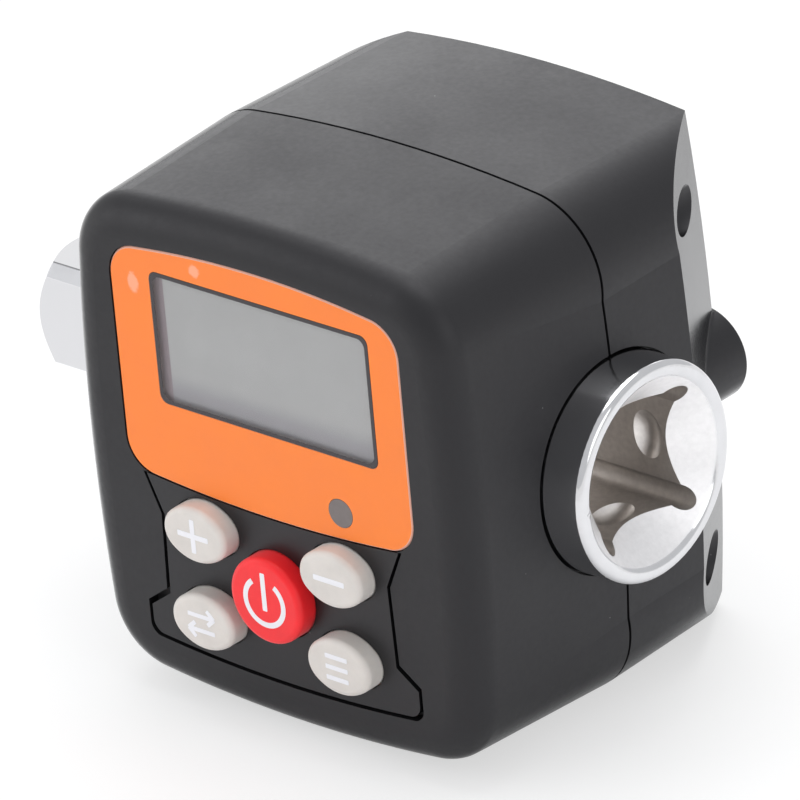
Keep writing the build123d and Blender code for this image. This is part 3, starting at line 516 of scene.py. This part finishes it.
class ADAPTER_OT_display(bpy.types.Operator):
    """Finishes the window with its printed border, the blank display and its frame"""
    bl_idname = "adapter.display"
    bl_label = "Display"

    def edge_band(self, tree, parts, half, width):
        """One within the given width of the window's edge, with round inner corners."""
        squares = []
        for axis, size in (("X", half.x), ("Z", half.z)):
            away = math(tree, "ABSOLUTE", parts[axis])
            past = math(tree, "SUBTRACT", away, size - width - WINDOW_CORNER)
            past = math(tree, "MAXIMUM", past, 0.0)
            squares.append(math(tree, "MULTIPLY", past, past))
        away = math(tree, "SQRT", math(tree, "ADD", *squares))
        return edge(tree, away, WINDOW_CORNER, 0.03 * MM)

    def from_middle(self, tree, place, middle):
        """X, Y and Z measured from the middle of the window."""
        at = make(tree, "ShaderNodeMapping", {"Vector": place, "Location": -middle})
        return axes(tree, at.outputs["Vector"])

    def execute(self, context):
        settings = context.scene.adapter_display
        low, high = (Vector(corner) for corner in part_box("display_window"))
        middle, half = (low + high) / 2, (high - low) / 2
        material, tree, shader, place = start_material("window_smoke")
        parts = self.from_middle(tree, place, middle)
        front = edge(tree, parts["Y"], -half.y + 0.125 * MM, 0.025 * MM, falling=True)
        border = math(tree, "MULTIPLY", self.edge_band(tree, parts, half, settings.border), front)
        smudge = noise(tree, place, 3 * MM, 3.0)
        tree.links.new(shades(tree, smudge, settings.border_colour, 0.9, 1.1), shader.inputs["Base Color"])
        shader.inputs["Roughness"].default_value = 0.2
        clear = make(tree, "ShaderNodeBsdfTransparent", {"Color": (0.93, 0.92, 0.93, 1.0)})
        sheen = make(tree, "ShaderNodeBsdfGlossy", {"Color": (1, 1, 1, 1), "Roughness": 0.08})
        rim = make(tree, "ShaderNodeFresnel", {"IOR": 1.45})
        inner = make(tree, "ShaderNodeNewGeometry").outputs["Backfacing"]
        outer = math(tree, "MULTIPLY", rim.outputs[0], math(tree, "SUBTRACT", 1.0, inner))
        glass = make(tree, "ShaderNodeMixShader", {0: outer, 1: clear.outputs[0], 2: sheen.outputs[0]})
        shown = make(tree, "ShaderNodeMixShader", {
            0: border, 1: glass.outputs[0], 2: shader.outputs[0]})
        tree.links.new(shown.outputs[0], tree.nodes["Material Output"].inputs["Surface"])
        pane = bar(Vector((middle.x, low.y + settings.pane / 2, middle.z)), (2 * half.x, 2 * half.z),
                   settings.pane, round_=WINDOW_CORNER)
        settle(pane, "window_pane", material, "housing")
        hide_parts("display_window")

        material, tree, shader, place = start_material("lcd_grey")
        cloud = noise(tree, place, 5 * MM, 3.0)
        colour = settings.glass_colour
        base = shades(tree, span(tree, cloud, 0.3, 0.7), colour, 0.97, 1.03)
        # Strip of the frame seen at the left of the display; below it, painted shade that darkens the display
        # towards its bottom edge
        parts = self.from_middle(tree, place, middle)
        ledge = settings.ledge
        low_shade = span(tree, parts["Z"], ledge - half.z, ledge * 3 - half.z, 0.85, 0.0, smooth=True)
        base = mix(tree, low_shade, base, rgba(settings.low_shade_colour))
        strip = span(tree, parts["X"], ledge - half.x, ledge + 0.12 * MM - half.x, 1.0, 0.0)
        base = mix(tree, strip, base, rgba(settings.ledge_colour))
        tree.links.new(base, shader.inputs["Base Color"])
        shader.inputs["Roughness"].default_value = 0.35
        bump(tree, shader, noise(tree, place, 0.12 * MM), 0.05, 0.01 * MM)
        finish(("lcd_panel",), material)
        # A wide plate behind the pane, and a narrower block through the opening to the panel
        play = 0.02 * MM
        face, step, rear = low.y + settings.pane + play, high.y - play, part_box("lcd_panel")[0][1]
        pieces = []
        for front, back, inset, corner in (
            (face, step, play, WINDOW_CORNER), (step, rear, 1.15 * MM, 0.95 * MM),
        ):
            size = (2 * (half.x - inset), 2 * (half.z - inset))
            centre = Vector((middle.x, (front + back) / 2, middle.z))
            pieces.append(bar(centre, size, back - front, round_=corner))
        settle(joined(pieces), "display_glass", material, "housing")

        inner_plastic = plain("inner_plastic", 2 * MM, (0.42, 0.36, 0.37), (0.47, 0.4, 0.41),
                              0.5, 0.25 * MM, 0.15, 0.02 * MM)
        finish(("lcd_frame",), inner_plastic)
        return {"FINISHED"}


class ADAPTER_OT_lamp(bpy.types.Operator):
    """Finishes the lens of the indicator lamp and the diode behind it"""
    bl_idname = "adapter.lamp"
    bl_label = "Indicator lamp"

    def execute(self, context):
        lens = plain("lamp_lens", 0.8 * MM, (0.15, 0.125, 0.12), (0.19, 0.165, 0.16),
                     0.35, 0.4 * MM, 0.1, 0.02 * MM)
        finish(("indicator_window",), lens)
        resin = plain("diode_resin", 0.5 * MM, (0.75, 0.72, 0.6), (0.85, 0.83, 0.74),
                      0.3, 0.2 * MM, 0.1, 0.02 * MM)
        finish(("indicator_led",), resin)
        return {"FINISHED"}


def silicone(name, colour):
    """Matt silicone rubber of a key, faintly clouded and dusty."""
    material, tree, shader, place = start_material(name)
    cloud = noise(tree, place, 2.5 * MM, 4.0)
    fine = noise(tree, place, 0.14 * MM, 2.0)
    base = shades(tree, span(tree, cloud, 0.3, 0.7), colour, 0.95, 1.05)
    tree.links.new(base, shader.inputs["Base Color"])
    tree.links.new(span(tree, fine, 0.3, 0.7, 0.42, 0.55), shader.inputs["Roughness"])
    shader.inputs["Sheen Weight"].default_value = 0.15
    shader.inputs["Sheen Roughness"].default_value = 0.5
    shader.inputs["Subsurface Weight"].default_value = 0.1
    shader.inputs["Subsurface Radius"].default_value = (0.6 * MM, 0.5 * MM, 0.4 * MM)
    shader.inputs["Subsurface Scale"].default_value = 1.0
    bump(tree, shader, fine, 0.12, 0.015 * MM)
    return material


def bar(centre, size, thickness, turn=0.0, round_=None):
    """Flat bar in the plane of the keys' faces, with its upright edges rounded."""
    deselect()
    bpy.ops.mesh.primitive_cube_add(size=1, location=centre)
    obj = bpy.context.object
    obj.scale = (size[0], thickness, size[1])
    bpy.ops.object.transform_apply(location=True, rotation=False, scale=True)
    bpy.ops.object.mode_set(mode="EDIT")
    bpy.ops.mesh.select_mode(type="EDGE")
    bpy.ops.mesh.select_all(action="DESELECT")
    bpy.ops.object.mode_set(mode="OBJECT")
    for line in obj.data.edges:
        first, second = (obj.data.vertices[i].co for i in line.vertices)
        line.select = abs((first - second).y) > thickness * 0.9
    bpy.ops.object.mode_set(mode="EDIT")
    bpy.ops.mesh.bevel(offset=round_ or min(size) * 0.18, segments=4 if round_ else 3)
    if turn:
        bpy.ops.mesh.select_all(action="SELECT")
        bpy.ops.transform.rotate(value=-turn, orient_axis="Y", center_override=centre)
    bpy.ops.object.mode_set(mode="OBJECT")
    return obj


def joined(pieces):
    """The pieces joined in one object."""
    deselect()
    for piece in pieces:
        piece.select_set(True)
    bpy.context.view_layer.objects.active = pieces[0]
    if len(pieces) > 1:
        bpy.ops.object.join()
    return pieces[0]


class ADAPTER_OT_keys(bpy.types.Operator):
    """Finishes the five keys and prints a symbol on each"""
    bl_idname = "adapter.keys"
    bl_label = "Keys"

    def face(self, node):
        """Middle of a key's front face."""
        low, high = (Vector(corner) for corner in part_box(node))
        return Vector(((low.x + high.x) / 2, low.y, (low.z + high.z) / 2))

    def execute(self, context):
        settings = context.scene.adapter_keys
        grey = silicone("key_grey", settings.grey)
        red = silicone("key_red", settings.red)
        finish(("button_plus", "button_minus", "button_unit", "button_mode"), grey)
        finish(("button_power",), red)
        ink = settings.symbol_colour
        print_white = plain("symbol_print", 0.6 * MM, rgba(ink, 0.97)[:3], rgba(ink, 1.03)[:3],
                            0.45, 0.1 * MM, 0.1, 0.01 * MM)

        stroke, wide, film = settings.stroke, settings.span, settings.film
        lift = Vector((0, -film / 2 + 0.01 * MM, 0))
        plus = self.face("button_plus") + lift
        arm = (wide - stroke) / 2
        post = arm * 0.92
        pieces = [bar(plus, (wide, stroke), film)]
        for side in (-1, 1):
            middle = plus + Vector((0, 0, side * (stroke / 2 + post / 2)))
            pieces.append(bar(middle, (stroke, post), film))
        settle(joined(pieces), "symbol_plus", print_white, "plus_key")
        minus = self.face("button_minus") + lift
        settle(bar(minus, (wide, stroke), film), "symbol_minus", print_white, "minus_key")
        unit = self.face("button_unit") + lift
        pieces = []
        for side in (-1, 1):
            line = unit + Vector((0, 0, side * 0.85 * MM))
            pieces.append(bar(line, (wide * 0.86, stroke * 0.8), film))
            tip = line + Vector((side * wide * 0.43, 0, 0))
            for lean in (-1, 1):
                head = tip + Vector((-side * 0.45 * MM, 0, lean * 0.42 * MM))
                turn = side * lean * radians(42)
                pieces.append(bar(head, (1.3 * MM, stroke * 0.8), film * 0.9, turn=turn))
        settle(joined(pieces), "symbol_unit", print_white, "unit_key")
        mode = self.face("button_mode") + lift
        pieces = [bar(mode + Vector((0, 0, row * 1.25 * MM)), (wide * 0.72, stroke * 0.85), film)
                  for row in (-1, 0, 1)]
        settle(joined(pieces), "symbol_mode", print_white, "mode_key")
        self.power(context, print_white, stroke, film)
        return {"FINISHED"}

    def power(self, context, material, stroke, film):
        """Open ring with a bar at its top."""
        centre = self.face("button_power") + Vector((0, -film / 2 + 0.01 * MM, 0))
        radius = 2.6 * MM
        gap = radians(35)
        deselect()
        ring_start = centre + Vector((sin(gap) * radius, 0, cos(gap) * radius))
        bpy.ops.mesh.primitive_plane_add(size=1, location=ring_start)
        ring = context.object
        ring.scale = (stroke, film, 1)
        bpy.ops.object.transform_apply(location=True, rotation=False, scale=True)
        bpy.ops.object.mode_set(mode="EDIT")
        bpy.ops.mesh.select_all(action="SELECT")
        bpy.ops.transform.rotate(value=pi / 2 - gap, orient_axis="Y", center_override=ring_start)
        bpy.ops.mesh.spin(steps=44, angle=2 * pi - 2 * gap, center=centre, axis=(0, -1, 0))
        bpy.ops.object.mode_set(mode="OBJECT")
        post = bar(centre + Vector((0, 0, 1.2 * MM)), (stroke, 4.4 * MM), film)
        settle(joined([ring, post]), "symbol_power", material, "power_key")


class ADAPTER_OT_shaft(bpy.types.Operator):
    """Finishes the plated shaft with its matt socket, the ball, its spring and the gauges"""
    bl_idname = "adapter.shaft"
    bl_label = "Torque shaft"

    def wide_mouth(self, context, settings, material):
        """Shaft whose countersunk mouth reaches the narrow round rim, cut from a copy of the solid."""
        deselect()
        source = frame["nodes"]["torque_shaft"]
        source.select_set(True)
        context.view_layer.objects.active = source
        bpy.ops.object.duplicate()
        shaft = context.object
        bpy.ops.object.parent_clear(type="CLEAR_KEEP_TRANSFORM")
        bpy.ops.object.transform_apply(location=True, rotation=True, scale=True)
        if shaft.data.has_custom_normals:
            bpy.ops.mesh.customdata_custom_splitnormals_clear()
        bpy.ops.object.mode_set(mode="EDIT")
        bpy.ops.mesh.select_all(action="SELECT")
        bpy.ops.mesh.remove_doubles(threshold=0.001 * MM)
        bpy.ops.mesh.normals_make_consistent(inside=False)
        deselect()
        reach = settings.mouth + 2 * MM
        bpy.ops.mesh.primitive_cone_add(
            vertices=160, radius1=0, radius2=reach, depth=reach, location=(2 * MM - reach / 2, 0, 0),
            rotation=(0, radians(90), 0))
        cutter = context.object
        deselect()
        shaft.select_set(True)
        context.view_layer.objects.active = shaft
        bpy.ops.object.modifier_add(type="BOOLEAN")
        cut = shaft.modifiers[-1]
        cut.operation = "DIFFERENCE"
        cut.solver = "EXACT"
        cut.object = cutter
        bpy.ops.object.modifier_apply(modifier=cut.name)
        deselect()
        cutter.select_set(True)
        bpy.ops.object.delete()
        shaft.select_set(True)
        context.view_layer.objects.active = shaft
        bpy.ops.object.mode_set(mode="EDIT")
        bpy.ops.mesh.select_mode(type="EDGE")
        bpy.ops.mesh.select_all(action="DESELECT")
        bpy.ops.object.mode_set(mode="OBJECT")
        for line in shaft.data.edges:
            ends = [shaft.data.vertices[i].co for i in line.vertices]
            line.select = all(
                abs(end.x) < 0.01 * MM and abs(end.yz.length - settings.mouth) < 0.05 * MM
                for end in ends)
        if not any(line.select for line in shaft.data.edges):
            raise RuntimeError("the mouth's edge wasn't found")
        bpy.ops.object.mode_set(mode="EDIT")
        bpy.ops.mesh.bevel(offset=settings.rim_round, segments=4)
        bpy.ops.object.mode_set(mode="OBJECT")
        settle(shaft, "shaft_finish", material, "housing")
        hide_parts("torque_shaft")

    def execute(self, context):
        settings = context.scene.adapter_metal
        material, tree, shader, place = start_material("shaft_chrome")
        parts = axes(tree, place)
        flat = make(tree, "ShaderNodeCombineXYZ", {"Y": parts["Y"], "Z": parts["Z"]})
        length = make(tree, "ShaderNodeVectorMath", {0: flat.outputs[0]}, operation="LENGTH")
        radius = length.outputs["Value"]
        # The countersink is where the radius less X is the mouth's radius; the socket lies deeper
        past = math(tree, "SUBTRACT", math(tree, "SUBTRACT", radius, parts["X"]), settings.mouth)
        deep = edge(tree, past, 0.035 * MM, 0.015 * MM)
        within = edge(tree, radius, MOUTH_EDGE, 0.075 * MM, falling=True)
        within = math(tree, "MULTIPLY", within, edge(tree, parts["X"], SOCKET_END, 0.1 * MM))
        inside = math(tree, "MULTIPLY", deep, within)
        bevel = math(tree, "MULTIPLY", math(tree, "SUBTRACT", 1.0, deep), within)
        cloud = noise(tree, place, 2.2 * MM, 4.0)
        fine = noise(tree, place, 0.12 * MM, 3.0, 0.6)
        stain = noise(tree, place, 0.7 * MM, 4.0, 0.65)
        stained = span(tree, stain, 0.35, 0.7)
        dull = shades(tree, stained, settings.socket, 1.05, 0.9)
        frosted = shades(tree, stained, settings.cone, 1.0, 0.93)
        bright = shades(tree, span(tree, cloud, 0.3, 0.7), settings.chrome, 0.97, 1.02)
        # Painted light on the male square: the whole of it a little darker, its top flat much darker as
        # painted shade, and its broken corners lighter as painted highlights
        tang = edge(tree, parts["X"], SHOULDER, 0.1 * MM, falling=True)
        bright = mix(tree, tang, bright, rgba(settings.chrome, 0.93))
        upper = math(tree, "MULTIPLY", tang, edge(tree, parts["Z"], TANG_TOP, 0.05 * MM))
        broken = math(tree, "ADD", *(math(tree, "ABSOLUTE", parts[axis]) for axis in "YZ"))
        broken = math(tree, "MULTIPLY", tang, edge(tree, broken, TANG_CORNER, 0.02 * MM))
        bright = mix(tree, broken, bright, rgba(settings.chrome, 1.22))
        bright = mix(tree, upper, bright, rgba(settings.chrome, 0.36))
        base = mix(tree, inside, mix(tree, bevel, bright, frosted), dull)
        tree.links.new(base, shader.inputs["Base Color"])
        shader.inputs["Metallic"].default_value = 1.0
        worn = span(tree, cloud, 0.3, 0.75, settings.polish * 0.8, settings.polish * 1.5)
        side = math(tree, "MULTIPLY", edge(tree, radius, RING_SIDE, 0.05 * MM),
                    edge(tree, parts["X"], RIM_BACK, 0.15 * MM, falling=True))
        side = math(tree, "ADD", side, math(tree, "MULTIPLY", upper, 0.6), clamp=True)
        rough = level(tree, bevel, level(tree, side, worn, 0.15), 0.48)
        rough = level(tree, inside, rough, 0.36)
        tree.links.new(rough, shader.inputs["Roughness"])
        grain = math(tree, "MULTIPLY", fine, math(tree, "ADD", inside, bevel))
        wave = math(tree, "ADD", grain, math(tree, "MULTIPLY", cloud, 0.25))
        bump(tree, shader, wave, 0.35, 0.03 * MM)
        self.wide_mouth(context, settings, material)

        steel = plain("spring_steel", 0.5 * MM, (0.5, 0.5, 0.5), (0.62, 0.62, 0.63),
                      0.22, 0.3 * MM, 0.1, 0.01 * MM, metallic=1.0)
        finish(("detent_ball", "detent_spring", "battery_contact_spring"), steel)

        material, tree, shader, place = start_material("gauge_foil")
        bands = make(tree, "ShaderNodeTexWave", {"Vector": place, "Scale": 900.0, "Distortion": 0.0},
                     bands_direction="X")
        lines = span(tree, bands.outputs["Fac"], 0.4, 0.6)
        tree.links.new(mix(tree, lines, (0.55, 0.34, 0.12, 1), (0.7, 0.5, 0.22, 1)),
                       shader.inputs["Base Color"])
        shader.inputs["Roughness"].default_value = 0.4
        bump(tree, shader, bands.outputs["Fac"], 0.2, 0.01 * MM)
        finish(("strain_gauges", "gauge_lead"), material)
        return {"FINISHED"}


class ADAPTER_OT_screws(bpy.types.Operator):
    """Finishes the case screws and the board screws"""
    bl_idname = "adapter.screws"
    bl_label = "Screws"

    def execute(self, context):
        material, tree, shader, place = start_material("screw_steel")
        cloud = noise(tree, place, 0.9 * MM, 4.0)
        tree.links.new(mix(tree, cloud, (0.11, 0.11, 0.115, 1), (0.2, 0.2, 0.205, 1)),
                       shader.inputs["Base Color"])
        shader.inputs["Metallic"].default_value = 1.0
        tree.links.new(span(tree, cloud, 0.3, 0.7, 0.3, 0.45), shader.inputs["Roughness"])
        bump(tree, shader, noise(tree, place, 0.15 * MM), 0.2, 0.02 * MM)
        finish(("case_screws", "board_screws"), material)
        return {"FINISHED"}


class ADAPTER_OT_board(bpy.types.Operator):
    """Finishes the circuit board, its parts and the rubber mat under the keys"""
    bl_idname = "adapter.board"
    bl_label = "Circuit board"

    def execute(self, context):
        material, tree, shader, place = start_material("board_green")
        upright = make(tree, "ShaderNodeMapping", {"Vector": place, "Rotation": (radians(90), 0, 0)})
        tracks = make(tree, "ShaderNodeTexBrick", {
            "Vector": upright.outputs["Vector"], "Scale": 180.0, "Mortar Size": 0.04,
            "Color1": (0.01, 0.11, 0.045, 1), "Color2": (0.012, 0.13, 0.05, 1),
            "Mortar": (0.03, 0.22, 0.09, 1)})
        tree.links.new(tracks.outputs["Color"], shader.inputs["Base Color"])
        shader.inputs["Roughness"].default_value = 0.35
        bump(tree, shader, tracks.outputs["Fac"], 0.2, 0.02 * MM)
        finish(("circuit_board",), material)
        chips = plain("chip_black", 0.4 * MM, (0.015, 0.015, 0.016), (0.03, 0.03, 0.032),
                      0.55, 0.15 * MM, 0.2, 0.02 * MM)
        finish(("board_chips", "buzzer"), chips)
        contacts = plain("contact_metal", 0.8 * MM, (0.6, 0.58, 0.53), (0.72, 0.7, 0.66),
                         0.28, 0.3 * MM, 0.1, 0.01 * MM, metallic=1.0)
        finish(("tact_switches", "battery_contact_plate"), contacts)
        finish(("keypad_mat",), silicone("mat_rubber", (0.3, 0.3, 0.3)))
        return {"FINISHED"}


class ADAPTER_OT_battery(bpy.types.Operator):
    """Finishes the battery cell with its plain sleeve and bare ends"""
    bl_idname = "adapter.battery"
    bl_label = "Battery"

    def execute(self, context):
        material, tree, shader, place = start_material("cell_jacket")
        low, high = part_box("battery_cell")
        along = axes(tree, place)["X"]
        ramp = 0.05 * MM
        sleeve = math(tree, "MULTIPLY", edge(tree, along, low[0] + 0.65 * MM, ramp),
                      edge(tree, along, high[0] - 1.65 * MM, ramp, falling=True))
        band = edge(tree, along, high[0] - 10.95 * MM, ramp)
        jacket = mix(tree, band, (0.05, 0.05, 0.055, 1), (0.45, 0.33, 0.12, 1))
        cloud = noise(tree, place, 2 * MM)
        bare = mix(tree, cloud, (0.6, 0.6, 0.6, 1), (0.7, 0.7, 0.7, 1))
        tree.links.new(mix(tree, sleeve, bare, jacket), shader.inputs["Base Color"])
        tree.links.new(span(tree, sleeve, 0, 1, 1.0, 0.2), shader.inputs["Metallic"])
        shader.inputs["Roughness"].default_value = 0.3
        bump(tree, shader, cloud, 0.05, 0.02 * MM)
        finish(("battery_cell",), material)
        return {"FINISHED"}


STEPS = (
    ("adapter.stage", ADAPTER_OT_stage),
    ("adapter.housing", ADAPTER_OT_housing),
    ("adapter.label", ADAPTER_OT_label),
    ("adapter.display", ADAPTER_OT_display),
    ("adapter.lamp", ADAPTER_OT_lamp),
    ("adapter.keys", ADAPTER_OT_keys),
    ("adapter.shaft", ADAPTER_OT_shaft),
    ("adapter.screws", ADAPTER_OT_screws),
    ("adapter.board", ADAPTER_OT_board),
    ("adapter.battery", ADAPTER_OT_battery),
)
GROUPS = (
    ("adapter_plastic", PlasticSettings),
    ("adapter_label", LabelSettings),
    ("adapter_display", DisplaySettings),
    ("adapter_keys", KeySettings),
    ("adapter_metal", MetalSettings),
    ("adapter_stage", StageSettings),
)


class ADAPTER_PT_panel(bpy.types.Panel):
    """Sizes, colours and steps of the torque adapter"""
    bl_idname = "ADAPTER_PT_panel"
    bl_label = "Torque adapter"
    bl_space_type = "VIEW_3D"
    bl_region_type = "UI"
    bl_category = "Torque adapter"

    def draw(self, context):
        for name, group in GROUPS:
            box = self.layout.box()
            for setting in group.__annotations__:
                box.prop(getattr(context.scene, name), setting)
        for idname, _ in STEPS:
            self.layout.operator(idname)


def register():
    for name, group in GROUPS:
        bpy.utils.register_class(group)
        setattr(bpy.types.Scene, name, bpy.props.PointerProperty(type=group))
    for _, step in STEPS:
        bpy.utils.register_class(step)
    bpy.utils.register_class(ADAPTER_PT_panel)


def unregister():
    bpy.utils.unregister_class(ADAPTER_PT_panel)
    for _, step in reversed(STEPS):
        bpy.utils.unregister_class(step)
    for name, group in reversed(GROUPS):
        delattr(bpy.types.Scene, name)
        bpy.utils.unregister_class(group)


def main():
    register()
    bpy.ops.adapter.stage()
    bpy.ops.adapter.housing()
    bpy.ops.adapter.label()
    bpy.ops.adapter.display()
    bpy.ops.adapter.lamp()
    bpy.ops.adapter.keys()
    bpy.ops.adapter.shaft()
    bpy.ops.adapter.screws()
    bpy.ops.adapter.board()
    bpy.ops.adapter.battery()


if __name__ == "__main__":
    main()
